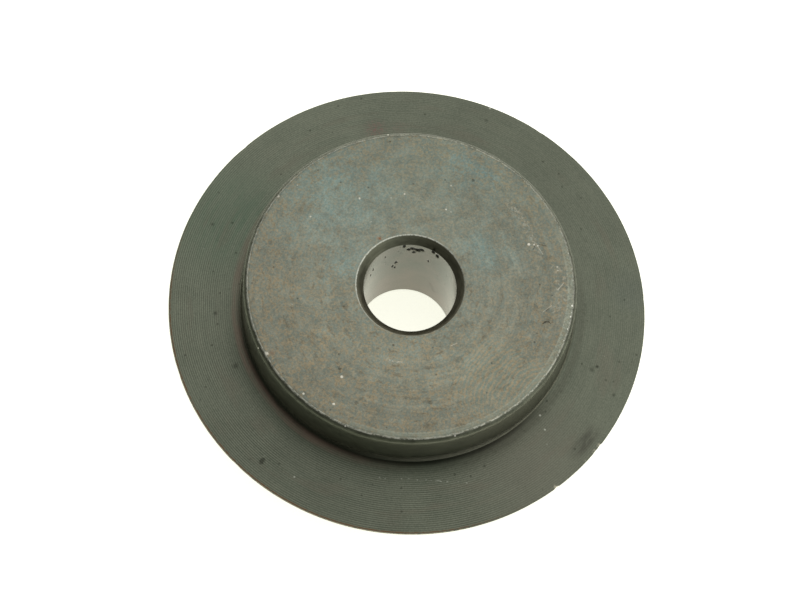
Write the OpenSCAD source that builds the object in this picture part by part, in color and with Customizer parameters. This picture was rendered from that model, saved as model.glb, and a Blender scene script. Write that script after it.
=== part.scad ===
// Seam roller wheel: a single turned steel wheel with a thin tapered rim,
// a raised hub on each side and a chamfered through bore for its axle pin.
// The bore axis is Z and the origin is the middle of the bore, in the plane
// of the rim. The wheel rests on the end face of its lower hub.

/* [Rim] */
// Diameter over the rim
rim_d = 50; // [44:0.5:60]
// Width of the small land left at the very edge of the rim
rim_land = 0.16; // [0.1:0.02:0.6]
// Taper of each side of the rim, in degrees from the plane of the wheel
rim_taper = 10.5; // [6:0.5:14]

/* [Hub] */
// Diameter of both hubs
hub_d = 34.8; // [26:0.2:38]
// Width over the two hub faces
hub_w = 14; // [11:0.5:20]
// Chamfer on the outer edge of each hub
hub_chamfer = 0.4; // [0.2:0.05:0.8]
// Radius of the fillet where each hub meets the rim
root_r = 0.6; // [0.3:0.1:1]

/* [Bore] */
// Diameter of the bore, a running fit on a 9.525 mm pin
bore_d = 9.7; // [8:0.05:12]
// Chamfer at each mouth of the bore
bore_chamfer = 0.8; // [0.4:0.1:1.2]

/* [Hidden] */
rim_r = rim_d / 2;
hub_r = hub_d / 2;
bore_r = bore_d / 2;
half_w = hub_w / 2;
// Break of the rim's corners, a quarter of its land
rim_break = rim_land / 4;
// Steps in the fillet's quarter
root_steps = 8;
eps = 0.01;

// Height of the tapered side above the wheel's plane at a radius
function side_z(r) = rim_land / 2 + (rim_r - rim_break - r) * tan(rim_taper);
// The fillet touches the hub's wall and the tapered side
root_cx = hub_r + root_r;
root_cz = side_z(root_cx) + root_r / cos(rim_taper);
function root_pt(i) =
    let (a = 180 + (90 - rim_taper) * i / root_steps)
    [root_cx + root_r * cos(a), root_cz + root_r * sin(a)];

// One side of the outline, from the hub's face down to the rim
function upper_side() = concat(
    [[hub_r - hub_chamfer, half_w], [hub_r, half_w - hub_chamfer]],
    [for (i = [0:root_steps]) root_pt(i)],
    [[rim_r - rim_break, rim_land / 2], [rim_r, rim_land / 2 - rim_break]]
);
function flipped(pts) = [for (i = [len(pts) - 1:-1:0]) [pts[i][0], -pts[i][1]]];

module outline() {
    polygon(concat([[0, half_w]], upper_side(), flipped(upper_side()), [[0, -half_w]]));
}

// Cone that opens one mouth of the bore
module bore_mouth() {
    translate([0, 0, half_w - bore_chamfer])
        cylinder(r1 = bore_r, r2 = bore_r + bore_chamfer, h = bore_chamfer, $fn = 180);
    translate([0, 0, half_w - eps / 2])
        cylinder(r = bore_r + bore_chamfer, h = 1, $fn = 180);
}

module roller_wheel() {
    color([0.36, 0.37, 0.33])
    difference() {
        rotate_extrude($fn = 240) outline();
        cylinder(d = bore_d, h = hub_w + 2, center = true, $fn = 180);
        bore_mouth();
        mirror([0, 0, 1]) bore_mouth();
    }
}

roller_wheel();
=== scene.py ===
import math

import bpy
import numpy as np
from mathutils import Matrix, Vector


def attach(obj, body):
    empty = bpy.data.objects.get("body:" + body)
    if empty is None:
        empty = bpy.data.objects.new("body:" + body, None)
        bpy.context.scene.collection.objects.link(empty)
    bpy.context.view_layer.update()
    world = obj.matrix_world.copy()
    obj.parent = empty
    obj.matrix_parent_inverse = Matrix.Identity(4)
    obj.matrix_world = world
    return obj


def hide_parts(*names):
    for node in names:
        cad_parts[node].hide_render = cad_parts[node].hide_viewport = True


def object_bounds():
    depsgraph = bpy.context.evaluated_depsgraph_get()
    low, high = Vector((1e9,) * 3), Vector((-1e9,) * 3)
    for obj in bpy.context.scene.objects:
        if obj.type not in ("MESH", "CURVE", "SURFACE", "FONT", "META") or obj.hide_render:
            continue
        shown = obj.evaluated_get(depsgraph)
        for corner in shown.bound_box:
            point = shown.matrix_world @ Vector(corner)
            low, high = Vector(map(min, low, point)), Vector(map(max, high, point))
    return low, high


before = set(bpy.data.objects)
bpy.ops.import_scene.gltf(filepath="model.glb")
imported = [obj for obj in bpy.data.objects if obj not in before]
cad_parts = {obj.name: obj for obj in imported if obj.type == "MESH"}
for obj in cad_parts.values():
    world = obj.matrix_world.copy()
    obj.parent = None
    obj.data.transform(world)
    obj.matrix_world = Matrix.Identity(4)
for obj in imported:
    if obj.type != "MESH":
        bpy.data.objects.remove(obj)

CAD_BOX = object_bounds()
TAU = 2 * math.pi

# ---------------------------------------------------------------- view settings, camera, floor and light
scene = bpy.context.scene
scene.view_settings.view_transform = "Standard"
scene.view_settings.look = "None"
scene.view_settings.exposure = 0.0
scene.view_settings.gamma = 1.0

cam_data = bpy.data.cameras.new("camera")
cam_data.sensor_fit = "HORIZONTAL"
cam_data.sensor_width = 36.0
cam_data.lens = 293.9
cam_data.clip_start = 0.01
cam_data.clip_end = 50.0
camera = bpy.data.objects.new("camera", cam_data)
scene.collection.objects.link(camera)
cx = Vector((0.99056, 0.12680, 0.05131)).normalized()
cz = Vector((0.00001, -0.37511, 0.92698)).normalized()
cy = cz.cross(cx).normalized()
cx = cy.cross(cz)
camera.matrix_world = Matrix.Translation((-0.00086, -0.25604, 0.63526)) @ Matrix((cx, cy, cz)).transposed().to_4x4()
scene.camera = camera

FLOOR_Z = CAD_BOX[0][2]


def add_floor():
    n, half = 24, 3.0
    verts, faces = [], []
    for j in range(n + 1):
        for i in range(n + 1):
            verts.append((half * (2 * i / n - 1), half * (2 * j / n - 1), FLOOR_Z))
    for j in range(n):
        for i in range(n):
            a = j * (n + 1) + i
            faces.append((a, a + 1, a + n + 2, a + n + 1))
    me = bpy.data.meshes.new("floor")
    me.from_pydata(verts, [], faces)
    ob = bpy.data.objects.new("floor", me)
    scene.collection.objects.link(ob)
    mat = bpy.data.materials.new("floor_paper")
    mat.use_nodes = True
    b = mat.node_tree.nodes["Principled BSDF"]
    b.inputs["Base Color"].default_value = (0.93, 0.925, 0.90, 1)
    b.inputs["Roughness"].default_value = 0.95
    b.inputs["Specular IOR Level"].default_value = 0.1
    b.inputs["Emission Color"].default_value = (1.0, 1.0, 0.86, 1)
    b.inputs["Emission Strength"].default_value = 0.84
    me.materials.append(mat)


add_floor()


def area(name, loc, target, size, power, colour=(1, 1, 1)):
    d = bpy.data.lights.new(name, "AREA")
    d.shape = "DISK"
    d.size = size
    d.energy = power
    d.color = colour
    o = bpy.data.objects.new(name, d)
    scene.collection.objects.link(o)
    o.location = loc
    o.rotation_euler = (Vector(target) - Vector(loc)).to_track_quat("-Z", "Y").to_euler()
    return o


area("overhead", (0.12, 0.40, 0.95), (0, 0, 0), 0.80, 1.0, (1.0, 0.995, 0.97))
area("right_fill", (0.85, -0.30, 0.50), (0, 0, 0), 0.90, 1.1, (1.0, 0.99, 0.95))


def add_world():
    """A soft tent: bright above, dimmer at the horizon, a little brighter on the right."""
    world = bpy.data.worlds.new("studio")
    scene.world = world
    world.use_nodes = True
    nt = world.node_tree
    bg = nt.nodes["Background"]
    coord = nt.nodes.new("ShaderNodeTexCoord")
    parts = nt.nodes.new("ShaderNodeSeparateXYZ")
    nt.links.new(coord.outputs["Generated"], parts.inputs[0])
    rise = nt.nodes.new("ShaderNodeMapRange")
    rise.interpolation_type = "SMOOTHSTEP"
    rise.inputs["From Min"].default_value = 0.10
    rise.inputs["From Max"].default_value = 0.75
    rise.inputs["To Min"].default_value = 0.24
    rise.inputs["To Max"].default_value = 0.86
    nt.links.new(parts.outputs[2], rise.inputs["Value"])
    side = nt.nodes.new("ShaderNodeMath")
    side.operation = "MULTIPLY_ADD"
    side.inputs[1].default_value = 0.26
    nt.links.new(parts.outputs[0], side.inputs[0])
    back = nt.nodes.new("ShaderNodeMath")
    back.operation = "MULTIPLY_ADD"
    back.inputs[1].default_value = 0.22
    back.inputs[2].default_value = 0.94
    nt.links.new(parts.outputs[1], back.inputs[0])
    nt.links.new(back.outputs[0], side.inputs[2])
    power = nt.nodes.new("ShaderNodeMath")
    power.operation = "MULTIPLY"
    nt.links.new(rise.outputs["Result"], power.inputs[0])
    nt.links.new(side.outputs[0], power.inputs[1])
    nt.links.new(power.outputs[0], bg.inputs["Strength"])
    bg.inputs["Color"].default_value = (1.0, 1.0, 0.97, 1)


add_world()

# ---------------------------------------------------------------- the wheel's section, in millimetres
RIM_R, LAND, TAPER = 25.0, 0.16, math.radians(10.5)
HUB_R, HALF_W, HUB_CH = 17.4, 7.0, 0.4
BORE_R, BORE_CH, ROOT_R = 4.85, 0.8, 0.6
BREAK = LAND / 4
PITCH = 0.218
SEG = 384
RIM_BODY_R = RIM_R - BREAK


def side_z(r):
    return LAND / 2 + (RIM_BODY_R - r) * math.tan(TAPER)


ROOT_CX = HUB_R + ROOT_R
ROOT_CZ = side_z(ROOT_CX) + ROOT_R / math.cos(TAPER)

# zones, which are also the material slots
FACE, CHAMFER, WALL, CONE, MOUTH, BORE = range(6)
# each ring is (radius, height, zone of the strip up to the next ring, kind)


def upper_rings():
    """Rings from the bore's mouth to the rim, on the upper side."""
    rings = []

    def put(r, z, zone, kind="plain"):
        rings.append((r, z, zone, kind))

    # mouth of the bore
    put(BORE_R, HALF_W - BORE_CH, MOUTH, "sharp")
    put(BORE_R + 0.05, HALF_W - BORE_CH + 0.05, MOUTH)
    put(BORE_R + BORE_CH * 0.5, HALF_W - BORE_CH * 0.5, MOUTH)
    put(BORE_R + BORE_CH - 0.05, HALF_W - 0.05, MOUTH, "mouth_edge")
    put(BORE_R + BORE_CH + 0.035, HALF_W - 0.004, FACE, "mouth_edge")
    put(BORE_R + BORE_CH + 0.12, HALF_W, FACE)
    # faced end of the hub
    for r in np.linspace(BORE_R + BORE_CH + 0.7, HUB_R - HUB_CH - 0.75, 20):
        put(float(r), HALF_W, FACE, "faced")
    put(HUB_R - HUB_CH - 0.30, HALF_W, FACE)
    put(HUB_R - HUB_CH - 0.08, HALF_W - 0.003, FACE, "hub_edge")
    put(HUB_R - HUB_CH + 0.03, HALF_W - 0.05, CHAMFER, "hub_edge")
    put(HUB_R - HUB_CH * 0.5, HALF_W - HUB_CH * 0.5, CHAMFER)
    put(HUB_R - 0.05, HALF_W - HUB_CH + 0.03, CHAMFER, "shoulder")
    put(HUB_R, HALF_W - HUB_CH - 0.06, WALL, "shoulder")
    for z in np.linspace(HALF_W - HUB_CH - 0.7, ROOT_CZ + 0.5, 5):
        put(HUB_R, float(z), WALL)
    # fillet at the hub's root
    for i in range(7):
        a = math.pi + (math.pi / 2 - TAPER) * i / 6
        put(ROOT_CX + ROOT_R * math.cos(a), ROOT_CZ + ROOT_R * math.sin(a), WALL if i < 3 else CONE)
    # turned rings of the rim: one V of the tool's feed each pitch, fading in from the fillet
    r = rings[-1][0] + 0.11
    put(r, side_z(r), CONE, "crest")
    while r + PITCH < RIM_BODY_R - 0.10:
        put(r + PITCH / 2, side_z(r + PITCH / 2), CONE, "valley")
        r += PITCH
        put(r, side_z(r), CONE, "crest")
    put(RIM_BODY_R, LAND / 2, CONE, "rim")
    put(RIM_R, LAND / 2 - BREAK, CONE, "rim")
    return rings


def full_profile():
    up = upper_rings()
    down = []
    for k in range(len(up) - 1, -1, -1):
        r, z, zone, kind = up[k]
        down.append((r, -z, up[k - 1][2] if k else BORE, kind))
    # bore wall, from the lower mouth up; closer rings near the upper mouth, where it is pitted
    bore = []
    zs = list(np.linspace(-6.2, 1.6, 16)[1:]) + list(np.linspace(1.6, 6.2, 24)[1:-1])
    for z in zs:
        bore.append((BORE_R, float(z), BORE, "bore"))
    return up + down + bore


def ripple(theta, amp, lo, hi, seed):
    """A smooth random wave round the wheel, which closes on itself."""
    g = np.random.default_rng(seed)
    out = np.zeros_like(theta)
    for k in range(lo, hi):
        out += g.normal() * np.sin(k * theta + g.uniform(0, TAU)) / math.sqrt(hi - lo)
    return amp * out


def dings(theta, count, seed, width=(0.008, 0.03), depth=(0.3, 1.0)):
    """Small nicks in an edge, as depths from 0 to about 1."""
    g = np.random.default_rng(seed)
    out = np.zeros_like(theta)
    for _ in range(count):
        c, w, d = g.uniform(0, TAU), g.uniform(*width), g.uniform(*depth)
        gap = np.abs((theta - c + math.pi) % TAU - math.pi)
        out = np.maximum(out, d * np.clip(1 - gap / w, 0, 1))
    return out


# bore pits: azimuth in degrees, height, half width and half height in mm, depth in mm
BORE_PITS = [
    (88, 5.00, 0.50, 0.34, 0.10), (94, 5.20, 0.36, 0.30, 0.08), (82, 5.25, 0.30, 0.34, 0.09), (98, 4.95, 0.22, 0.30, 0.06), (104, 5.85, 0.17, 0.34, 0.09), (91, 4.30, 0.20, 0.26, 0.05),
    (112, 1.60, 0.17, 0.40, 0.08), (116, 0.80, 0.14, 0.36, 0.07), (113, 0.30, 0.11, 0.32, 0.06), (67, 5.95, 0.20, 0.36, 0.09),
    (61, 5.55, 0.22, 0.40, 0.10), (72, 3.00, 0.10, 0.28, 0.06), (147, 3.35, 0.09, 0.32, 0.05), (151, 2.5, 0.08, 0.3, 0.05),
    (128, 4.4, 0.08, 0.24, 0.04), (256, 4.9, 0.2, 0.3, 0.08), (301, 5.3, 0.15, 0.4, 0.07), (215, 3.6, 0.14, 0.3, 0.06),
]
# nicks in the rim's edge: azimuth in degrees, half width in degrees, depth in mm
RIM_NICKS = [(-29.3, 0.9, 0.10), (-31.2, 0.8, 0.08), (-44.1, 0.8, 0.09), (-128, 1.2, 0.05), (63, 0.9, 0.05), (141, 1.1, 0.06), (-156, 0.8, 0.05), (11, 0.9, 0.04), (205, 1.0, 0.05)]
# pits and dents in the hub's upper face: x, y, radius and depth in mm
FACE_DENTS = [(-6.0, -10.2, 0.30, 0.012), (3.6, -12.6, 0.30, 0.012), (-10.9, 2.5, 0.3, 0.015), (9.7, 9.6, 0.5, 0.02), (-3.8, -13.9, 0.3, 0.02)]


def build_wheel():
    prof = full_profile()
    theta = np.arange(SEG) / SEG * TAU
    count = len(prof)
    R = np.zeros((count, SEG))
    Z = np.zeros((count, SEG))
    hub_wear = {s: np.clip(0.45 + ripple(theta, 0.35, 3, 60, 5 + s), 0, 1) + 0.9 * dings(theta, 60, 15 + s) for s in (0, 1)}
    mouth_wear = {s: np.clip(0.3 + ripple(theta, 0.3, 3, 40, 25 + s), 0, 1) for s in (0, 1)}
    shoulder_wear = {s: np.clip(0.3 + ripple(theta, 0.3, 3, 50, 35 + s), 0, 1) + 0.6 * dings(theta, 24, 45 + s) for s in (0, 1)}
    groove_depth = {s: 0.0075 * (1 + ripple(theta, 0.10, 1, 5, 55 + s)) for s in (0, 1)}
    for k, (r, z, zone, kind) in enumerate(prof):
        s = 0 if z > 0 else 1
        sign = 1.0 if z > 0 else -1.0
        rr = np.full(SEG, r)
        zz = np.full(SEG, z)
        if kind == "faced":
            wave = 0.004 * (1 + math.sin(r * 4.1 + s)) * (0.5 + 0.5 * math.sin(r * 1.3)) + 0.004 + ripple(theta, 0.0018, 1, 7, 100 + k)
            zz -= sign * np.clip(wave, 0.0, 0.02)
        elif kind == "hub_edge":
            zz -= sign * 0.035 * hub_wear[s] * (0.5 if zone == FACE else 1.0)
            rr -= 0.030 * hub_wear[s]
        elif kind == "shoulder":
            rr -= 0.022 * shoulder_wear[s]
        elif kind == "mouth_edge":
            zz -= sign * 0.02 * mouth_wear[s]
            rr += 0.02 * mouth_wear[s]
        elif kind == "valley":
            fade = min(1.0, max(0.15, (r - 18.0) / 1.2))
            zz -= sign * groove_depth[s] * fade * (1 + 0.22 * math.sin(r * 12.7 + 2.0) + 0.18 * math.sin(r * 5.3))
        elif kind == "crest":
            zz -= sign * (0.0004 + 0.0004 * math.sin(r * 9.1))
        elif kind == "bore":
            rr += 0.0012 * math.sin(z * 11.0) + 0.0012
        if kind == "rim" or (kind in ("crest", "valley") and r > RIM_BODY_R - 0.35):
            reach = 1.0 if kind == "rim" else max(0.0, 1 - (RIM_BODY_R - r) / 0.35) * 0.7
            cut = np.zeros(SEG)
            for az, w, d in RIM_NICKS:
                gap = np.abs((np.degrees(theta) - az + 180) % 360 - 180)
                cut = np.maximum(cut, d * np.clip(1 - gap / w, 0, 1))
            cut += 0.012 * dings(theta, 70, 65)
            quiet = np.minimum.reduce([np.abs((np.degrees(theta) - a + 180) % 360 - 180) for a in (0, 90, 180, 270)])
            rr -= reach * cut * (quiet > 1.2)
        if zone == BORE or kind == "sharp":
            push = np.zeros(SEG)
            for az, pz, hw, hh, d in BORE_PITS:
                gap = np.radians((np.degrees(theta) - az + 180) % 360 - 180) * BORE_R
                q = (gap / hw) ** 2 + ((z - pz) / hh) ** 2
                push = np.maximum(push, d * np.clip(1.15 - q, 0, 1))
            rr += push
        if zone in (FACE, CHAMFER) and z > 0:
            for x, y, w, d in FACE_DENTS:
                gap2 = (r * np.cos(theta) - x) ** 2 + (r * np.sin(theta) - y) ** 2
                zz -= d * np.clip(1 - gap2 / w ** 2, 0, 1)
        R[k], Z[k] = rr, zz
    co = np.stack([R * np.cos(theta), R * np.sin(theta), Z], -1).reshape(-1, 3) * 0.001
    co = np.clip(co, np.array(CAD_BOX[0]), np.array(CAD_BOX[1]))
    k = np.arange(count)
    i = np.arange(SEG)
    K, I = np.meshgrid(k, i, indexing="ij")
    K2, I2 = (K + 1) % count, (I + 1) % SEG
    quads = np.stack([K * SEG + I, K * SEG + I2, K2 * SEG + I2, K2 * SEG + I], -1).reshape(-1, 4)
    zones = np.repeat(np.array([p[2] for p in prof]), SEG)
    me = bpy.data.meshes.new("turned_wheel")
    me.vertices.add(len(co))
    me.vertices.foreach_set("co", co.astype(np.float32).ravel())
    me.loops.add(quads.size)
    me.loops.foreach_set("vertex_index", quads.astype(np.int32).ravel())
    me.polygons.add(len(quads))
    me.polygons.foreach_set("loop_start", (np.arange(len(quads)) * 4).astype(np.int32))
    me.polygons.foreach_set("material_index", zones.astype(np.int32))
    me.update(calc_edges=True)
    me.validate()
    me.polygons.foreach_set("use_smooth", np.ones(len(quads), bool))
    # crease the crests and valleys of the turned rings, the bore's arrises and the rim's land
    hard_rings = {n for n, p in enumerate(prof) if p[3] in ("crest", "valley", "sharp", "rim")}
    ev = np.zeros(len(me.edges) * 2, np.int32)
    me.edges.foreach_get("vertices", ev)
    ring = ev.reshape(-1, 2) // SEG
    hard = (ring[:, 0] == ring[:, 1]) & np.isin(ring[:, 0], list(hard_rings))
    attr = me.attributes.get("sharp_edge") or me.attributes.new("sharp_edge", "BOOLEAN", "EDGE")
    attr.data.foreach_set("value", hard)
    me.update()
    ob = bpy.data.objects.new("turned_wheel", me)
    scene.collection.objects.link(ob)
    return ob


wheel = build_wheel()

# ---------------------------------------------------------------- a small shorthand for building materials


class Tree:
    """Builds a node tree from nested calls. Every value is a socket or a constant."""

    def __init__(self, name):
        self.mat = bpy.data.materials.new(name)
        self.mat.use_nodes = True
        self.nt = self.mat.node_tree
        self.bsdf = self.nt.nodes["Principled BSDF"]
        self._p = None
        self._skip = None

    def node(self, kind, **props):
        n = self.nt.nodes.new(kind)
        for k, v in props.items():
            setattr(n, k, v)
        return n

    def put(self, socket, value):
        if isinstance(value, bpy.types.NodeSocket):
            self.nt.links.new(value, socket)
        elif value is not None:
            if hasattr(socket.default_value, "__len__"):
                v = tuple(value) if hasattr(value, "__len__") else (value,) * len(socket.default_value)
                socket.default_value = v if len(v) == len(socket.default_value) else (*v, 1.0)[: len(socket.default_value)]
            else:
                socket.default_value = value

    def math(self, op, a, b=None, c=None, clamp=False):
        n = self.node("ShaderNodeMath", operation=op, use_clamp=clamp)
        self.put(n.inputs[0], a)
        self.put(n.inputs[1], b)
        self.put(n.inputs[2], c)
        return n.outputs[0]

    def add(self, *v):
        out = v[0]
        for x in v[1:]:
            out = self.math("ADD", out, x)
        return out

    def sub(self, a, b):
        return self.math("SUBTRACT", a, b)

    def mul(self, *v):
        out = v[0]
        for x in v[1:]:
            out = self.math("MULTIPLY", out, x)
        return out

    def peak(self, *v):
        out = v[0]
        for x in v[1:]:
            out = self.math("MAXIMUM", out, x)
        return out

    def vec(self, op, a, b=None, scale=None):
        n = self.node("ShaderNodeVectorMath", operation=op)
        self.put(n.inputs[0], a)
        if b is not None:
            self.put(n.inputs[1], b)
        if scale is not None:
            self.put(n.inputs["Scale"], scale)
        return n.outputs["Value"] if op in ("LENGTH", "DOT_PRODUCT", "DISTANCE") else n.outputs["Vector"]

    def ramp(self, x, a, b, lo=0.0, hi=1.0, smooth=True):
        """lo below a, hi above b, smooth between."""
        n = self.node("ShaderNodeMapRange", interpolation_type="SMOOTHSTEP" if smooth else "LINEAR")
        n.clamp = True
        self.put(n.inputs["Value"], x)
        self.put(n.inputs["From Min"], a)
        self.put(n.inputs["From Max"], b)
        self.put(n.inputs["To Min"], lo)
        self.put(n.inputs["To Max"], hi)
        return n.outputs["Result"]

    def band(self, x, centre, half, soft):
        """1 within half of the centre, fading over soft."""
        return self.ramp(self.math("ABSOLUTE", self.sub(x, centre)), half, half + soft, 1.0, 0.0)

    def noise(self, vector, scale, detail=2.0, rough=0.5, distort=0.0, dims="3D"):
        n = self.node("ShaderNodeTexNoise", noise_dimensions=dims)
        self.put(n.inputs["Vector"], vector)
        n.inputs["Scale"].default_value = scale
        n.inputs["Detail"].default_value = detail
        n.inputs["Roughness"].default_value = rough
        n.inputs["Distortion"].default_value = distort
        return n.outputs["Fac"]

    def cells(self, vector, scale, randomness=1.0):
        n = self.node("ShaderNodeTexVoronoi", feature="F1")
        self.put(n.inputs["Vector"], vector)
        n.inputs["Scale"].default_value = scale
        n.inputs["Randomness"].default_value = randomness
        return n.outputs["Distance"], n.outputs["Color"]

    def xyz(self, x, y, z):
        n = self.node("ShaderNodeCombineXYZ")
        self.put(n.inputs[0], x)
        self.put(n.inputs[1], y)
        self.put(n.inputs[2], z)
        return n.outputs[0]

    def split(self, v):
        n = self.node("ShaderNodeSeparateXYZ")
        self.put(n.inputs[0], v)
        return n.outputs

    def mix(self, fac, a, b, mode="MIX"):
        n = self.node("ShaderNodeMix", data_type="RGBA", blend_type=mode)
        self.put(n.inputs["Factor"], fac)
        self.put([s for s in n.inputs if s.name == "A" and s.type == "RGBA"][0], a)
        self.put([s for s in n.inputs if s.name == "B" and s.type == "RGBA"][0], b)
        return [s for s in n.outputs if s.type == "RGBA"][0]

    def coords(self):
        """Place on the wheel in millimetres: vector, x, y, z, radius, turn (in radians)."""
        if self._p is None:
            t = self.node("ShaderNodeTexCoord")
            p = self.vec("SCALE", t.outputs["Object"], scale=1000.0)
            s = self.split(p)
            flat = self.xyz(s[0], s[1], 0.0)
            r = self.vec("LENGTH", flat)
            turn = self.math("ARCTAN2", s[1], s[0])
            self._p = (p, s[0], s[1], s[2], r, turn)
        return self._p

    def round_coords(self, along, radial, up=1.0):
        """Coordinates stretched round the wheel without a seam: the direction on a circle, and the radius."""
        p, x, y, z, r, turn = self.coords()
        cos = self.math("COSINE", turn)
        sin = self.math("SINE", turn)
        return self.xyz(self.mul(cos, along), self.mul(sin, along), self.add(self.mul(r, radial), self.mul(z, up)))

    def blob(self, x0, y0, radius):
        """Soft round patch about a point of the plan view."""
        p, x, y, z, r, turn = self.coords()
        d = self.vec("DISTANCE", self.xyz(x, y, 0.0), (x0, y0, 0.0))
        return self.ramp(d, 0.0, radius, 1.0, 0.0)

    def spot(self, x0, y0, radius):
        """Small spot with a firm, uneven outline."""
        p, x, y, z, r, turn = self.coords()
        d = self.vec("DISTANCE", self.xyz(x, y, 0.0), (x0, y0, 0.0))
        if self._skip is None:
            self._skip = self.noise(p, 2.6, 3.0, 0.7)
        return self.ramp(self.add(d, self.mul(self.sub(self._skip, 0.5), radius * 1.8)), radius * 0.45, radius, 1.0, 0.0)

    def stroke(self, a, b, width):
        """1 along a short straight scratch from a to b of the plan view."""
        p, x, y, z, r, turn = self.coords()
        pa = self.xyz(self.sub(x, a[0]), self.sub(y, a[1]), 0.0)
        ba = (b[0] - a[0], b[1] - a[1], 0.0)
        n2 = ba[0] ** 2 + ba[1] ** 2
        h = self.math("DIVIDE", self.vec("DOT_PRODUCT", pa, ba), n2, clamp=True)
        foot = self.vec("SCALE", ba, scale=h)
        d = self.vec("LENGTH", self.vec("SUBTRACT", pa, foot))
        if self._skip is None:
            self._skip = self.noise(p, 2.6, 3.0, 0.7)
        ragged = self.add(d, self.mul(self.sub(self._skip, 0.5), width * 1.6))
        return self.ramp(ragged, 0.0, width, 1.0, 0.0)

    def bump(self, height, distance, strength=1.0):
        """height is in 0..1 and distance in mm."""
        n = self.node("ShaderNodeBump")
        n.inputs["Strength"].default_value = strength
        n.inputs["Distance"].default_value = distance * 0.001
        self.put(n.inputs["Height"], height)
        return n.outputs["Normal"]

    def done(self, colour, rough, normal=None, metallic=1.0, **fixed):
        self.put(self.bsdf.inputs["Base Color"], colour)
        self.put(self.bsdf.inputs["Roughness"], rough)
        self.put(self.bsdf.inputs["Metallic"], metallic)
        if normal is not None:
            self.put(self.bsdf.inputs["Normal"], normal)
        for k, v in fixed.items():
            self.bsdf.inputs[k.replace("_", " ")].default_value = v
        return self.mat


def lin(r, g, b, k=1.0):
    """Linear colour from display values of 0 to 255."""
    out = []
    for v in (r, g, b):
        v /= 255.0
        out.append(k * (v / 12.92 if v <= 0.04045 else ((v + 0.055) / 1.055) ** 2.4))
    return (*out, 1.0)


STEEL = lin(196, 190, 178)


def grime(t, vector, lo=0.38, hi=0.62):
    return t.ramp(t.noise(vector, 1.0, 4.0, 0.6), lo, hi)


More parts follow.
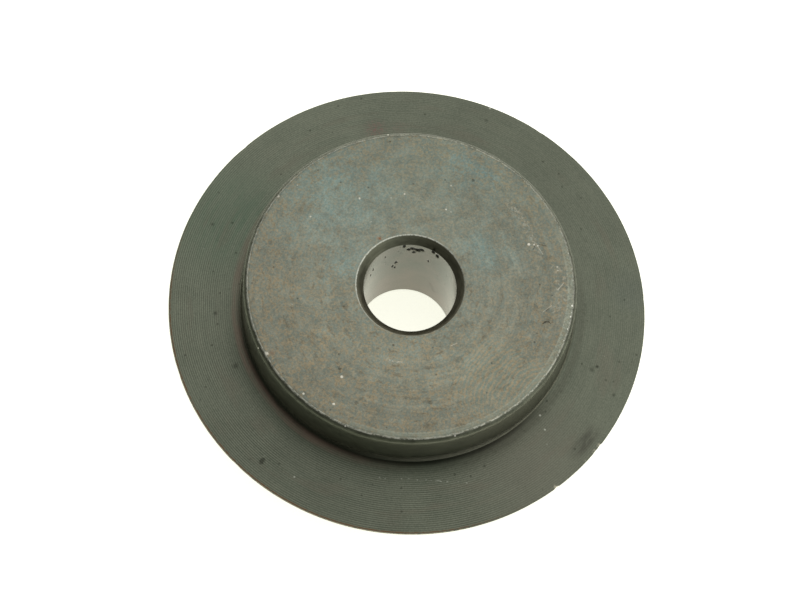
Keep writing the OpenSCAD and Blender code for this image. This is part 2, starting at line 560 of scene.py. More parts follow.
# ---------------------------------------------------------------- faced end of the hub
def face_material():
    t = Tree("oxide_faced")
    p, x, y, z, r, turn = t.coords()
    cloud = t.noise(p, 0.20, 3.0, 0.55, 0.8)
    patch = t.noise(p, 0.50, 4.0, 0.62, 0.8)
    fleck = t.noise(p, 1.5, 4.0, 0.70, 0.6)
    grain = t.noise(p, 5.2, 3.0, 0.85)
    arcs = t.noise(t.round_coords(7.5, 2.1), 1.0, 4.0, 0.68, 0.3)
    base = t.mix(t.ramp(t.add(t.mul(fleck, 0.5), t.mul(patch, 0.5)), 0.38, 0.62), lin(117, 119, 107), lin(135, 137, 124))
    # steel-blue temper tints, strongest at the upper left, the upper right and beside the bore
    where = t.peak(t.blob(-8.5, 9.0, 8.5), t.mul(t.blob(4.5, 14.0, 6.5), 0.95), t.mul(t.blob(-7.2, 1.6, 6.0), 0.95), t.mul(t.blob(7.4, 5.2, 6.0), 0.9), t.mul(t.blob(-1.0, -1.0, 12.5), 0.65), t.mul(t.blob(5.3, -5.0, 5.0), 0.7), t.mul(t.blob(-13.0, 4.0, 4.5), 0.7))
    blue = t.mul(where, t.ramp(t.add(t.mul(patch, 0.6), t.mul(fleck, 0.4)), 0.40, 0.64))
    wisp = t.mul(t.band(r, 8.6, 0.3, 1.5), t.band(turn, 0.60, 0.12, 0.24), t.ramp(fleck, 0.36, 0.60, 0.35, 1.0))
    wisp = t.peak(wisp, t.mul(t.band(r, 14.9, 0.2, 1.0), t.band(turn, 1.22, 0.08, 0.20), t.ramp(fleck, 0.36, 0.60, 0.35, 1.0)), t.mul(t.blob(-7.0, 1.2, 2.8), t.ramp(fleck, 0.34, 0.58, 0.3, 0.9)))
    blue = t.peak(t.mul(blue, 0.85), t.mul(wisp, 0.85))
    base = t.mix(t.mul(blue, 0.92), base, lin(120, 143, 140))
    pale = t.mul(t.blob(-9.0, 9.0, 9.0), t.ramp(patch, 0.36, 0.60, 0.55, 1.0))
    base = t.mix(t.mul(pale, 0.34), base, lin(146, 165, 158))
    # tan rust bloom, in soft flecks drawn out along the tool's arcs, strongest in the lower half
    low = t.ramp(t.add(t.mul(y, -1.0), t.mul(x, -0.15)), -6.0, 9.0, 0.34, 1.0)
    rim_tan = t.ramp(r, 10.5, 16.6, 0.0, 0.60)
    tan_zone = t.math("MINIMUM", t.add(low, rim_tan), 1.0)
    flecks = t.ramp(t.add(t.mul(fleck, 0.40), t.mul(arcs, 0.25), t.mul(t.noise(p, 3.3, 2.0, 0.6), 0.35)), 0.47, 0.58)
    base = t.mix(t.mul(flecks, tan_zone, 0.74), base, lin(160, 145, 117))
    dark_flecks = t.ramp(t.add(t.mul(arcs, 0.5), t.mul(t.noise(p, 1.1, 4.0, 0.7, 0.6), 0.5)), 0.52, 0.62)
    base = t.mix(t.mul(dark_flecks, t.ramp(y, -6.0, 10.0, 0.60, 0.30)), base, lin(98, 96, 84))
    slow = t.add(t.ramp(cloud, 0.32, 0.68, 0.93, 1.07), t.mul(t.sub(grain, 0.5), 1.10))
    base = t.mix(1.0, base, t.xyz(slow, slow, slow), "MULTIPLY")
    tint = t.noise(p, 4.1, 2.0, 0.7)
    base = t.mix(t.mul(t.ramp(tint, 0.53, 0.60), 0.28), base, lin(158, 147, 123))
    base = t.mix(t.mul(t.ramp(tint, 0.47, 0.40), 0.34), base, lin(109, 127, 122))
    haze = t.mul(t.ramp(y, 1.0, 13.0), t.ramp(cloud, 0.36, 0.60, 0.6, 1.0))
    level = t.add(t.ramp(r, 7.5, 15.5, 0.98, 0.91), t.ramp(t.add(t.mul(x, -1.0), t.mul(y, -1.0)), 4.0, 17.0, 0.0, -0.03), t.mul(t.blob(9.5, -9.5, 8.0), 0.09))
    base = t.mix(1.0, base, t.xyz(t.mul(level, t.add(1.0, t.mul(haze, -0.07))), t.mul(level, t.add(1.0, t.mul(haze, -0.01))), t.mul(level, t.add(1.0, t.mul(haze, 0.01)))), "MULTIPLY")
    # arcs left by the facing tool, clearer at the right and below
    turned = t.noise(t.xyz(t.mul(r, 1.0), 0.0, 3.0), 1.3, 4.0, 0.72)
    fine_ring = t.noise(t.xyz(t.mul(r, 1.0), 0.0, 9.0), 6.0, 2.0, 0.5)
    side = t.ramp(t.add(t.mul(x, 0.7), t.mul(y, -0.7)), -12.0, 11.0, 0.30, 1.0)
    ring_tone = t.add(t.mul(t.sub(turned, 0.5), 0.50), t.mul(t.sub(fine_ring, 0.5), 0.20))
    sweeps = t.add(t.mul(t.band(r, 8.4, 0.10, 0.50), 0.05), t.mul(t.band(r, 9.5, 0.05, 0.35), -0.07), t.mul(t.band(r, 11.3, 0.15, 0.55), 0.05), t.mul(t.band(r, 12.5, 0.05, 0.45), -0.06), t.mul(t.band(r, 13.5, 0.05, 0.35), 0.05), t.mul(t.band(r, 14.7, 0.05, 0.40), -0.04))
    sweeps = t.mul(sweeps, t.ramp(t.add(t.mul(x, 0.85), t.mul(y, -0.5)), -2.0, 8.0), t.ramp(patch, 0.36, 0.58, 0.5, 1.3))
    tone = t.add(1.0, t.mul(ring_tone, side, t.ramp(patch, 0.38, 0.60, 0.35, 1.3)), sweeps)
    base = t.mix(1.0, base, t.xyz(tone, tone, tone), "MULTIPLY")
    # fine cross ridges at the lower right
    from_edge = t.vec("DISTANCE", t.xyz(x, y, 0.0), (15.9, -11.2, 0.0))
    wander = t.add(t.mul(t.sub(t.noise(p, 0.26, 2.0, 0.5), 0.5), 1.9), t.mul(t.sub(t.noise(p, 1.5, 3.0, 0.6), 0.5), 0.42))
    wave = t.math("COSINE", t.mul(t.add(from_edge, wander), TAU / 0.48))
    ridge_zone = t.mul(t.peak(t.blob(9.8, -8.8, 6.8), t.mul(t.blob(12.9, -8.9, 5.0), 0.95)), t.ramp(patch, 0.36, 0.56, 0.45, 1.0), t.ramp(t.noise(p, 3.6, 2.0, 0.7), 0.38, 0.58, 0.35, 1.0))
    ridges = t.mul(wave, 0.5, ridge_zone)
    base = t.mix(t.mul(t.ramp(ridges, 0.0, -0.24), 0.46), base, lin(118, 134, 124))
    base = t.mix(t.mul(t.ramp(ridges, 0.0, 0.24), 0.42), base, lin(154, 139, 112))
    rt = t.add(1.0, t.mul(ridges, 0.10))
    base = t.mix(1.0, base, t.xyz(rt, rt, rt), "MULTIPLY")
    # scratches, nicks and dust
    nibble = t.ramp(t.noise(p, 3.0, 3.0, 0.7), 0.47, 0.60)
    swept = t.mul(t.band(r, 13.95, 0.10, 0.45), t.band(turn, 0.65, 0.14, 0.22), nibble)
    drawn = t.mul(t.band(r, 8.7, 0.05, 0.12), t.band(turn, -1.62, 0.06, 0.10), nibble)
    nicked = t.mul(t.band(r, 15.55, 0.55, 0.5), t.band(turn, 0.10, 0.12, 0.15), t.ramp(t.noise(p, 2.4, 2.0, 0.6), 0.56, 0.64))
    faint = t.peak(t.mul(swept, 0.5), drawn, t.mul(nicked, 0.35),
        t.mul(t.stroke((15.25, 1.75), (15.75, 2.6), 0.08), 1.1), t.mul(t.stroke((14.0, -0.95), (14.8, -0.1), 0.07), 0.7), t.mul(t.stroke((12.6, 6.3), (13.2, 5.5), 0.06), 0.9), t.stroke((5.0, -6.1), (5.6, -5.7), 0.06))
    bright = t.peak(t.mul(faint, 0.50), t.spot(11.65, 6.36, 0.19), t.mul(t.spot(12.2, 6.42, 0.11), 0.8), t.mul(t.spot(12.58, 6.36, 0.11), 0.7), t.mul(t.spot(14.9, 4.3, 0.11), 0.6), t.mul(t.spot(15.0, 3.9, 0.10), 0.6),
        t.spot(-13.80, -9.78, 0.30), t.spot(-6.15, -14.25, 0.20), t.spot(-5.72, -11.2, 0.19), t.spot(-14.95, 7.9, 0.20), t.mul(t.spot(-6.5, 8.9, 0.14), 0.8), t.mul(t.spot(2.6, 9.0, 0.12), 0.8), t.mul(t.spot(-1.9, 10.1, 0.12), 0.7), t.mul(t.spot(-11.3, 6.1, 0.12), 0.7), t.mul(t.spot(-9.4, -13.6, 0.16), 0.8))
    scuff_d, scuff_c = t.cells(p, 0.62)
    spark = t.mul(t.ramp(scuff_d, 0.03, 0.075, 1.0, 0.0), t.ramp(t.split(scuff_c)[0], 0.55, 0.7))
    bright = t.peak(bright, t.mul(spark, 0.55))
    base = t.mix(t.mul(bright, 0.9), base, lin(214, 210, 196))
    dark = t.peak(
        t.stroke((14.15, -2.22), (14.42, -1.98), 0.10), t.stroke((14.42, -1.98), (14.72, -1.95), 0.11), t.stroke((14.72, -1.95), (14.98, -2.14), 0.09), t.mul(t.stroke((14.3, -0.75), (14.6, -0.45), 0.07), 0.6),
        t.mul(t.spot(-6.05, -10.25, 0.27), 0.6), t.mul(t.spot(3.65, -12.6, 0.30), 0.5), t.mul(t.stroke((12.28, 6.3), (12.15, 5.85), 0.08), 0.7), t.mul(t.spot(-0.9, -6.9, 0.20), 0.8), t.mul(t.spot(-3.9, -13.8, 0.28), 0.4), t.mul(t.spot(5.0, 12.7, 0.22), 0.6),
        t.mul(t.stroke((12.75, 6.5), (13.45, 6.48), 0.08), 0.6))
    pit_d, pit_c = t.cells(p, 0.95)
    pit = t.mul(t.ramp(pit_d, 0.05, 0.13, 1.0, 0.0), t.ramp(t.split(pit_c)[1], 0.62, 0.72))
    dark = t.peak(dark, t.mul(pit, 0.6))
    base = t.mix(t.mul(dark, 0.75), base, lin(52, 50, 42))
    rust = t.peak(t.mul(t.blob(-3.8, 4.75, 0.42), t.ramp(fleck, 0.35, 0.55)), t.mul(t.blob(-13.2, -9.6, 0.5), 0.35))
    base = t.mix(t.mul(rust, 0.85), base, lin(134, 88, 52))
    # worn outer edge with painted glints on it, scuffed band inside it, and the bore's mouth
    chatter = t.noise(t.round_coords(46.0, 3.0), 1.0, 2.0, 0.7)
    broken = t.noise(t.round_coords(11.0, 0.6), 1.0, 3.0, 0.6)
    right = t.ramp(t.add(t.mul(x, 0.80), t.mul(y, -0.6)), -6.0, 15.0, 0.0, 1.0)
    edge_band = t.ramp(r, 16.88, 16.95)
    worn = t.mul(edge_band, t.ramp(t.add(t.mul(chatter, 0.6), t.mul(broken, 0.4)), 0.44, 0.58), t.ramp(right, 0.0, 1.0, 0.95, 0.80))
    base = t.mix(t.mul(t.ramp(r, 16.90, 16.96), 0.32), base, lin(164, 167, 154))
    left = t.ramp(t.add(t.mul(x, -0.9), t.mul(y, 0.3)), 5.0, 13.0)
    base = t.mix(t.mul(t.ramp(r, 16.88, 16.95), left, 0.35), base, lin(176, 180, 167))
    base = t.mix(t.mul(worn, 0.58), base, lin(214, 214, 200))
    skim = t.mul(t.band(r, 16.72, 0.20, 0.10), t.ramp(right, 0.35, 0.9))
    speckle = t.ramp(t.noise(p, 5.2, 2.0, 0.7), 0.46, 0.56)
    base = t.mix(t.mul(skim, 0.45), base, lin(126, 131, 118))
    base = t.mix(t.mul(t.band(r, 16.68, 0.26, 0.12), t.ramp(right, 0.55, 1.0), t.ramp(y, -9.0, -3.0, 0.25, 1.0), speckle, 0.34), base, lin(164, 170, 154))
    # painted glints: bright beads on the worn outer edge, mostly at the right
    edge_painted_glints = t.peak(t.spot(16.97, 0.20, 0.14), t.mul(t.spot(16.98, -0.55, 0.09), 0.8), t.spot(16.95, -1.05, 0.13), t.mul(t.spot(16.92, -1.75, 0.09), 0.8), t.spot(16.82, -2.45, 0.17), t.mul(t.spot(16.72, 3.05, 0.10), 0.7), t.mul(t.spot(15.90, 6.0, 0.10), 0.7), t.mul(t.spot(16.45, 4.3, 0.08), 0.6), t.mul(t.spot(16.55, -3.8, 0.08), 0.7))
    base = t.mix(t.mul(edge_painted_glints, 0.9), base, lin(236, 236, 224))
    scuff = t.mul(t.band(r, 16.43, 0.02, 0.10), t.ramp(right, 0.35, 0.95, 0.0, 1.0), t.ramp(t.noise(t.round_coords(70.0, 3.4), 1.0, 3.0, 0.7), 0.36, 0.62, 0.25, 1.0))
    base = t.mix(t.mul(scuff, 0.34), base, lin(168, 173, 158))
    mouth = t.mul(t.ramp(r, 5.60, 5.84, 1.0, 0.0), t.ramp(t.add(t.mul(x, -0.7), t.mul(y, 0.7)), -4.0, 4.5, 0.35, 1.0), t.ramp(chatter, 0.36, 0.52, 0.35, 1.0))
    base = t.mix(t.mul(mouth, 0.35), base, lin(176, 178, 168))
    lip = t.mul(t.ramp(r, 5.68, 5.76, 1.0, 0.0), t.ramp(t.add(t.mul(x, -0.7), t.mul(y, 0.7)), -2.0, 4.5, 0.15, 1.0), t.ramp(chatter, 0.34, 0.50, 0.45, 1.0))
    base = t.mix(t.mul(lip, 0.85), base, lin(216, 218, 206))
    # finish
    rough = t.add(0.46, t.mul(t.sub(fleck, 0.5), 0.22), t.mul(flecks, tan_zone, 0.06), t.mul(worn, -0.12), t.mul(dark, 0.10))
    hgt = t.add(t.mul(turned, 0.30), t.mul(fine_ring, 0.22), t.mul(grain, 0.35), t.mul(fleck, 0.35), t.mul(ridges, 0.55), t.mul(dark, -0.9), t.mul(bright, -0.35), t.mul(flecks, tan_zone, 0.12))
    return t.done(base, rough, t.bump(hgt, 0.012, 0.9), 1.0)


# ---------------------------------------------------------------- rim cone
def cone_material():
    t = Tree("oxide_turned_rim")
    p, x, y, z, r, turn = t.coords()
    base_noise = t.noise(p, 0.20, 3.0, 0.55, 0.4)
    streak = t.noise(t.round_coords(5.0, 2.2), 1.0, 4.0, 0.65)
    thread = t.noise(t.xyz(r, 0.0, 1.7), 4.6, 2.0, 0.6)
    grain = t.noise(p, 6.0, 2.0, 0.6)
    base = t.mix(t.ramp(t.add(t.mul(streak, 0.5), t.mul(grain, 0.5)), 0.36, 0.64), lin(101, 106, 93), lin(113, 117, 103))
    slow = t.ramp(base_noise, 0.30, 0.70, 0.95, 1.05)
    # the tool's feed: crests catch the light and valleys keep the oxide, plainest at the left and below
    feed = t.math("COSINE", t.mul(t.sub(r, ROOT_CX - ROOT_R * math.sin(TAPER) + 0.11), TAU / PITCH))
    plain = t.ramp(t.add(t.mul(x, -0.75), t.mul(y, -0.66)), -9.0, 12.0, 0.30, 1.0)
    plain = t.mul(plain, t.ramp(t.noise(t.round_coords(3.0, 0.35), 1.0, 3.0, 0.6), 0.36, 0.62, 0.55, 1.25))
    # painted shade towards the near side and painted light towards the left, mixed into the rim's tone
    near_painted_shade = t.ramp(t.add(t.mul(y, -1.0), t.mul(x, -0.5)), 4.0, 20.0, 0.0, -0.11)
    left_light = t.ramp(t.add(t.mul(x, -0.94), t.mul(y, 0.34)), 2.0, 22.0, 0.0, 0.20)
    tone = t.add(t.mul(t.sub(thread, 0.5), 0.13), slow, t.mul(feed, plain, 0.22), near_painted_shade, left_light, t.mul(t.sub(grain, 0.5), 0.22))
    base = t.mix(1.0, base, t.xyz(tone, tone, tone), "MULTIPLY")
    # painted shade of the hub on the near side of the rim: a broad dark band beside the fillet, a darker one nearer to
    # it, and the darkest at the fillet's foot
    corner = t.mul(t.ramp(r, 17.9, 20.2, 1.0, 0.0), t.ramp(t.add(t.mul(y, -1.0), t.mul(x, -0.15)), 2.0, 17.0), t.ramp(streak, 0.3, 0.6, 0.8, 1.05))
    base = t.mix(t.mul(corner, 0.50), base, lin(58, 64, 52))
    fillet_painted_shade = t.mul(t.ramp(r, 17.5, 19.0, 1.0, 0.0), t.ramp(t.add(t.mul(y, -1.0), t.mul(x, -0.2)), 4.0, 15.0), t.ramp(streak, 0.3, 0.6, 0.75, 1.05))
    base = t.mix(t.mul(fillet_painted_shade, 0.55), base, lin(40, 45, 35))
    root = t.mul(t.ramp(r, 17.6, 18.15, 1.0, 0.0), t.ramp(t.add(t.mul(y, -1.0), t.mul(x, -0.2)), 2.0, 13.0))
    base = t.mix(t.mul(root, 0.90), base, lin(36, 40, 31))
    warm = t.blob(15.0, -15.5, 11.0)
    base = t.mix(t.mul(warm, 0.35), base, lin(113, 108, 98))
    shadow = t.mul(t.band(r, 18.25, 0.15, 0.55), t.ramp(x, 4.0, 14.0), t.ramp(y, 9.0, 2.0), t.ramp(streak, 0.3, 0.6, 0.7, 1.0))
    base = t.mix(t.mul(shadow, 0.30), base, lin(78, 78, 68))
    # green tint at the upper left, blue-grey at the right edge
    green = t.mul(t.blob(-19.5, 7.0, 9.5), t.ramp(streak, 0.38, 0.60, 0.45, 1.0))
    base = t.mix(t.mul(green, 0.60), base, lin(84, 106, 88))
    cool = t.mul(t.blob(23.0, 5.5, 3.4), t.ramp(base_noise, 0.40, 0.60, 0.4, 1.0))
    base = t.mix(t.mul(cool, 0.30), base, lin(92, 102, 103))
    # brown stain beside the fillet, on the left and below
    left = t.ramp(t.add(t.mul(x, -0.9), t.mul(y, -0.35)), 2.0, 15.0)
    stain = t.mul(t.band(r, 18.05, 0.20, 0.40), left, t.ramp(streak, 0.35, 0.60, 0.35, 1.0))
    base = t.mix(t.mul(stain, 0.42), base, lin(122, 100, 90))
    red = t.peak(t.mul(t.blob(-5.9, 19.6, 1.7), t.ramp(grain, 0.42, 0.60)), t.mul(t.blob(-3.4, 20.1, 1.2), t.ramp(grain, 0.48, 0.62), 0.6))
    base = t.mix(t.mul(red, 0.55), base, lin(124, 84, 84))
    brown = t.mul(t.band(t.add(t.mul(t.sub(base_noise, 0.5), 3.0), r), 21.8, 1.2, 1.4), t.ramp(t.noise(t.round_coords(3.2, 0.9), 1.0, 3.0, 0.6), 0.50, 0.66))
    base = t.mix(t.mul(brown, 0.22), base, lin(112, 104, 92))
    smudge = t.mul(t.band(r, 23.57, 0.25, 0.75), t.band(turn, math.radians(-31.0), 0.02, 0.10), t.ramp(t.noise(t.round_coords(14.0, 2.0), 1.0, 3.0, 0.65), 0.34, 0.58, 0.35, 1.0))
    base = t.mix(t.mul(smudge, 0.62), base, lin(70, 69, 62))
    # pits, spots and dust
    dark = t.peak(t.mul(t.spot(-12.75, -19.1, 0.42), 0.8), t.mul(t.blob(-19.8, -3.7, 0.35), 0.7), t.mul(t.blob(-16.9, -9.3, 0.5), 0.6), t.blob(20.51, -3.72, 0.26), t.mul(t.blob(20.0, -4.15, 0.42), 0.5), t.mul(t.blob(22.61, -6.43, 0.28), 0.7), t.mul(t.blob(21.6, -5.0, 0.20), 0.6), t.mul(t.blob(-21.5, 6.4, 0.3), 0.6), t.mul(t.blob(5.6, 22.6, 0.3), 0.5))
    pit_d, pit_c = t.cells(p, 0.85)
    pit = t.mul(t.ramp(pit_d, 0.06, 0.15, 1.0, 0.0), t.ramp(t.split(pit_c)[1], 0.60, 0.70))
    crumbs = t.mul(t.band(r, 18.35, 0.25, 0.35), t.ramp(t.add(x, t.mul(y, -1.0)), 10.0, 17.0), t.ramp(t.noise(p, 2.2, 4.0, 0.7), 0.50, 0.64))
    dark = t.peak(dark, t.mul(pit, 0.55), t.mul(crumbs, 0.18))
    base = t.mix(t.mul(dark, 0.72), base, lin(50, 51, 44))
    dust_d, dust_c = t.cells(p, 0.42)
    dust = t.mul(t.ramp(dust_d, 0.010, 0.032, 1.0, 0.0), t.ramp(t.split(dust_c)[0], 0.55, 0.65))
    dots = t.mul(t.stroke((-0.6, -19.40), (8.6, -18.60), 0.13), t.ramp(t.noise(p, 3.8, 1.0, 0.5), 0.56, 0.64))
    dust = t.peak(t.mul(dust, 0.65), t.mul(dots, 0.45), t.mul(t.spot(15.92, -11.58, 0.15), 0.7), t.spot(5.8, 24.15, 0.17), t.mul(t.spot(-9.2, -20.4, 0.14), 0.7), t.mul(t.spot(15.21, -10.21, 0.13), 0.7))
    base = t.mix(t.mul(dust, 0.85), base, lin(188, 190, 178))
    # edge of the rim: a thin brown line at the near left, and bare steel on the land and in its nicks
    chatter = t.noise(t.round_coords(60.0, 3.0), 1.0, 2.0, 0.7)
    near_left = t.ramp(t.add(t.mul(x, -0.6), t.mul(y, -0.8)), 4.0, 20.0)
    line = t.mul(t.band(r, 24.84, 0.05, 0.06), near_left, t.ramp(chatter, 0.38, 0.55, 0.3, 1.0))
    base = t.mix(t.mul(line, 0.85), base, lin(104, 80, 58))
    land = t.mul(t.ramp(r, 24.90, 24.97), t.ramp(t.add(t.mul(chatter, 0.7), t.mul(near_left, 0.25)), 0.46, 0.62))
    near = t.ramp(t.mul(y, -1.0), 3.0, 16.0)
    base = t.mix(t.mul(land, t.add(0.2, t.mul(near, 0.55))), base, lin(178, 170, 150))
    nick = t.mul(t.peak(t.blob(21.82, -12.22, 0.45), t.blob(21.42, -12.9, 0.40), t.blob(17.9, -17.35, 0.42)), t.ramp(t.noise(p, 2.6, 2.0, 0.6), 0.42, 0.58))
    base = t.mix(t.mul(nick, 0.9), base, lin(202, 196, 176))
    rough = t.add(0.50, t.mul(t.sub(streak, 0.5), 0.16), t.mul(dark, 0.12), t.mul(thread, 0.05), t.mul(root, 0.30))
    hgt = t.add(t.mul(streak, 0.25), t.mul(grain, 0.45), t.mul(dark, -0.8), t.mul(dust, 0.5), t.mul(thread, 0.2))
    return t.done(base, rough, t.bump(hgt, 0.008, 0.9), 1.0)


# ---------------------------------------------------------------- hub wall and its chamfer
def wall_material():
    t = Tree("oxide_hub_wall")
    p, x, y, z, r, turn = t.coords()
    up = t.math("ABSOLUTE", z)
    lathe = t.noise(t.xyz(t.mul(z, 1.0), 0.0, 0.0), 5.2, 3.0, 0.65)
    streak = t.noise(t.round_coords(13.0, 0.0, 2.4), 1.0, 3.0, 0.6)
    base = t.mix(t.ramp(streak, 0.36, 0.64), lin(84, 88, 74), lin(94, 98, 83))
    tone = t.add(1.0, t.mul(t.sub(lathe, 0.5), 0.24))
    base = t.mix(1.0, base, t.xyz(tone, tone, tone), "MULTIPLY")
    root = t.ramp(up, 1.6, 2.6, 1.0, 0.0)
    base = t.mix(t.mul(root, 0.55, t.ramp(streak, 0.36, 0.62, 0.5, 1.0)), base, lin(74, 60, 50))
    # painted shade at the foot of the wall on the near side
    root_painted_shade = t.mul(root, t.ramp(t.add(t.mul(y, -1.0), t.mul(x, -0.3)), 3.0, 14.0))
    base = t.mix(t.mul(root_painted_shade, 0.92), base, lin(36, 40, 31))
    chatter = t.noise(t.round_coords(40.0, 0.0, 2.0), 1.0, 2.0, 0.7)
    worn = t.mul(t.ramp(up, 6.36, 6.58), t.ramp(chatter, 0.42, 0.58, 0.15, 1.0), t.ramp(y, -13.0, -3.0, 0.0, 1.0))
    base = t.mix(t.mul(worn, 0.25), base, lin(130, 132, 118))
    # painted light: the wall is lighter and greyer towards the right
    right_painted_light = t.ramp(t.add(t.mul(x, 0.9), t.mul(y, -0.3)), 0.0, 15.0)
    base = t.mix(t.mul(right_painted_light, 0.75), base, lin(136, 137, 123))
    pit_d, pit_c = t.cells(p, 0.8)
    pit = t.mul(t.ramp(pit_d, 0.05, 0.12, 1.0, 0.0), t.ramp(t.split(pit_c)[1], 0.68, 0.76))
    base = t.mix(t.mul(pit, 0.6), base, lin(150, 150, 138))
    rough = t.add(0.40, t.mul(t.sub(streak, 0.5), 0.2), t.mul(lathe, 0.05), t.mul(root_painted_shade, 0.38))
    hgt = t.add(t.mul(lathe, 0.7), t.mul(streak, 0.3), t.mul(t.noise(p, 6.0, 2.0, 0.6), 0.35), t.mul(pit, 0.4))
    return t.done(base, rough, t.bump(hgt, 0.010, 0.8), 1.0)


def chamfer_material():
    t = Tree("oxide_hub_chamfer")
    p, x, y, z, r, turn = t.coords()
    chatter = t.noise(t.round_coords(52.0, 6.0), 1.0, 2.0, 0.7)
    broken = t.noise(t.round_coords(10.0, 0.5), 1.0, 3.0, 0.6)
    streak = t.noise(t.round_coords(16.0, 3.0), 1.0, 3.0, 0.6)
    # painted light: the chamfer is lighter on the far side and darker on the near side
    far_painted_light = t.ramp(t.add(t.mul(x, 0.6), t.mul(y, 0.8)), -15.0, 1.0)
    base = t.mix(far_painted_light, lin(72, 75, 63), lin(94, 97, 85))
    shade = t.ramp(streak, 0.36, 0.64, 0.84, 1.16)
    base = t.mix(1.0, base, t.xyz(shade, shade, shade), "MULTIPLY")
    right = t.ramp(t.add(t.mul(x, 0.80), t.mul(y, -0.6)), -6.0, 15.0, 0.0, 1.0)
    top = t.ramp(r, 17.05, 17.15, 1.0, 0.0)
    worn = t.mul(top, t.ramp(t.add(t.mul(chatter, 0.55), t.mul(broken, 0.45)), 0.42, 0.55, 0.1, 1.0), t.ramp(right, 0.0, 1.0, 0.7, 1.0))
    low = t.mul(t.ramp(r, 17.28, 17.37), t.ramp(t.add(t.mul(chatter, 0.6), t.mul(broken, 0.4)), 0.44, 0.58, 0.15, 1.0))
    base = t.mix(t.mul(worn, 0.66), base, lin(206, 206, 192))
    base = t.mix(t.mul(low, t.ramp(right, 0.0, 1.0, 0.28, 0.5), t.ramp(y, -13.0, 0.0, 0.0, 1.0)), base, lin(136, 138, 124))
    glint_d, glint_c = t.cells(p, 0.9)
    glint = t.mul(t.ramp(glint_d, 0.05, 0.12, 1.0, 0.0), t.ramp(t.split(glint_c)[0], 0.60, 0.70))
    base = t.mix(t.mul(glint, 0.7), base, lin(236, 233, 222))
    rough = t.add(0.42, t.mul(t.sub(streak, 0.5), 0.15), t.mul(worn, -0.12), t.mul(glint, -0.12))
    hgt = t.add(t.mul(chatter, 0.5), t.mul(streak, 0.4), t.mul(broken, 0.3))
    return t.done(base, rough, t.bump(hgt, 0.012, 0.8), 1.0)


def mouth_material():
    t = Tree("oxide_bore_mouth")
    p, x, y, z, r, turn = t.coords()
    streak = t.noise(t.round_coords(4.0, 3.0), 1.0, 3.0, 0.6)
    rings = t.noise(t.xyz(r, 0.0, 0.0), 11.0, 2.0, 0.6)
    # painted light and shade: the mouth is lighter on the near side and the lower left, darker on the far side, lifted
    # a little at the upper left
    near_painted_light = t.ramp(t.add(t.mul(y, -0.9), t.mul(x, -0.45)), -4.8, 3.2, smooth=False)
    base = t.mix(near_painted_light, lin(78, 78, 64), lin(160, 156, 134))
    upper_left_painted_light = t.ramp(t.add(t.mul(x, -0.8), t.mul(y, 0.6)), 1.5, 5.0)
    base = t.mix(t.mul(upper_left_painted_light, 0.8), base, lin(98, 101, 86))
    shade = t.ramp(streak, 0.36, 0.64, 0.88, 1.14)
    base = t.mix(1.0, base, t.xyz(shade, shade, shade), "MULTIPLY")
    tone = t.add(1.0, t.mul(t.sub(rings, 0.5), 0.35))
    base = t.mix(1.0, base, t.xyz(tone, tone, tone), "MULTIPLY")
    chatter = t.noise(t.round_coords(22.0, 3.0), 1.0, 2.0, 0.7)
    lip = t.mul(t.ramp(r, 5.57, 5.66), t.ramp(t.add(t.mul(x, -0.7), t.mul(y, 0.7)), -4.5, 4.0, 0.25, 1.0), t.ramp(chatter, 0.38, 0.54, 0.4, 1.0))
    base = t.mix(t.mul(lip, 0.9), base, lin(212, 214, 202))
    spot_d, spot_c = t.cells(p, 1.1)
    spot = t.mul(t.ramp(spot_d, 0.06, 0.13, 1.0, 0.0), t.ramp(t.split(spot_c)[1], 0.66, 0.74))
    base = t.mix(t.mul(spot, 0.7), base, lin(40, 38, 32))
    rough = t.add(0.38, t.mul(t.sub(streak, 0.5), 0.2))
    hgt = t.add(t.mul(rings, 0.6), t.mul(streak, 0.3), t.mul(spot, -0.6))
    return t.done(base, rough, t.bump(hgt, 0.008, 0.8), 1.0)


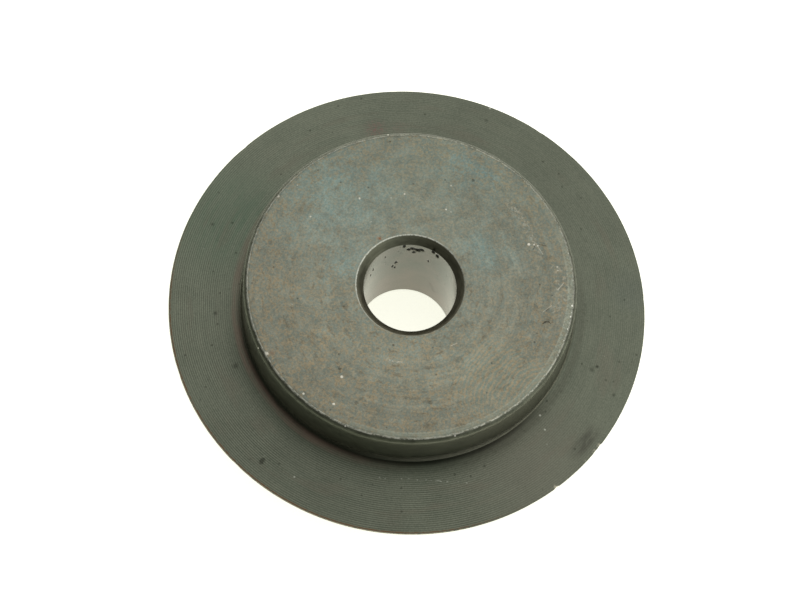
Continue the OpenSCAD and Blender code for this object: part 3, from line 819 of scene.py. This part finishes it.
def bore_material():
    t = Tree("bright_reamed_bore")
    p, x, y, z, r, turn = t.coords()
    rings = t.noise(t.xyz(z, 0.0, 0.0), 3.4, 4.0, 0.7)
    fine = t.noise(t.round_coords(2.6, 0.0, 14.0), 1.0, 2.0, 0.6)
    bloom = t.noise(p, 0.45, 3.0, 0.55)
    base = t.mix(t.ramp(bloom, 0.35, 0.65), lin(124, 128, 117), lin(136, 134, 123))
    tone = t.add(1.0, t.mul(t.sub(rings, 0.5), 0.16), t.mul(t.sub(fine, 0.5), 0.14))
    base = t.mix(1.0, base, t.xyz(tone, tone, tone), "MULTIPLY")
    # painted shading: the bore is darker on the far side and towards the upper mouth, lighter towards the lower mouth
    bore_painted_shading = t.mul(t.ramp(y, 1.5, 4.5, 1.08, 0.70), t.ramp(z, -5.0, 4.5, 1.10, 0.90))
    base = t.mix(1.0, base, t.xyz(bore_painted_shading, bore_painted_shading, bore_painted_shading), "MULTIPLY")
    lower = t.ramp(z, 2.5, -5.0)
    base = t.mix(t.mul(lower, 0.40), base, lin(130, 116, 107))
    # black pits that the reamer left, each with a ragged outline
    ragged = t.noise(p, 3.6, 3.0, 0.7)
    marks = []
    for az, pz, hw, hh, d in BORE_PITS:
        a = math.radians(az)
        c = (BORE_R * math.cos(a), BORE_R * math.sin(a), pz)
        off = t.vec("SUBTRACT", p, c)
        q = t.split(off)
        across = t.vec("LENGTH", t.xyz(q[0], q[1], 0.0))
        dist = t.vec("LENGTH", t.xyz(t.math("DIVIDE", across, hw), t.math("DIVIDE", q[2], hh), 0.0))
        marks.append(dist)
    near = marks[0]
    for m in marks[1:]:
        near = t.math("MINIMUM", near, m)
    pit = t.ramp(t.add(near, t.mul(t.sub(ragged, 0.5), 2.6)), 0.75, 1.15, 1.0, 0.0)
    speck_d, speck_c = t.cells(p, 1.5)
    speck = t.mul(t.ramp(speck_d, 0.08, 0.15, 1.0, 0.0), t.ramp(t.split(speck_c)[1], 0.72, 0.80), t.ramp(z, -1.0, 4.5, 0.2, 1.0))
    pit = t.peak(pit, t.mul(speck, 0.6))
    base = t.mix(t.mul(pit, 0.95), base, lin(26, 27, 22))
    # a drawn scratch with a bruise beside it
    a0, a1 = math.radians(65.4), math.radians(58.1)
    s0 = (BORE_R * math.cos(a0), BORE_R * math.sin(a0), -2.5)
    s1 = (BORE_R * math.cos(a1), BORE_R * math.sin(a1), -3.9)
    ba = tuple(s1[i] - s0[i] for i in range(3))
    pa = t.vec("SUBTRACT", p, s0)
    h = t.math("DIVIDE", t.vec("DOT_PRODUCT", pa, ba), sum(v * v for v in ba), clamp=True)
    d = t.vec("LENGTH", t.vec("SUBTRACT", pa, t.vec("SCALE", ba, scale=h)))
    drag = t.mul(t.ramp(d, 0.05, 0.42, 1.0, 0.0), t.ramp(ragged, 0.34, 0.58, 0.3, 1.0))
    base = t.mix(t.mul(drag, 0.55), base, lin(96, 90, 82))
    rough = t.add(0.24, t.mul(t.sub(fine, 0.5), 0.12), t.mul(pit, 0.35))
    hgt = t.add(t.mul(rings, 0.35), t.mul(fine, 0.5), t.mul(pit, -0.9), t.mul(drag, -0.4))
    return t.done(base, rough, t.bump(hgt, 0.010, 0.8), 1.0)


for made in (face_material(), chamfer_material(), wall_material(), cone_material(), mouth_material(), bore_material()):
    wheel.data.materials.append(made)

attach(wheel, "root")
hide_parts("roller_wheel")
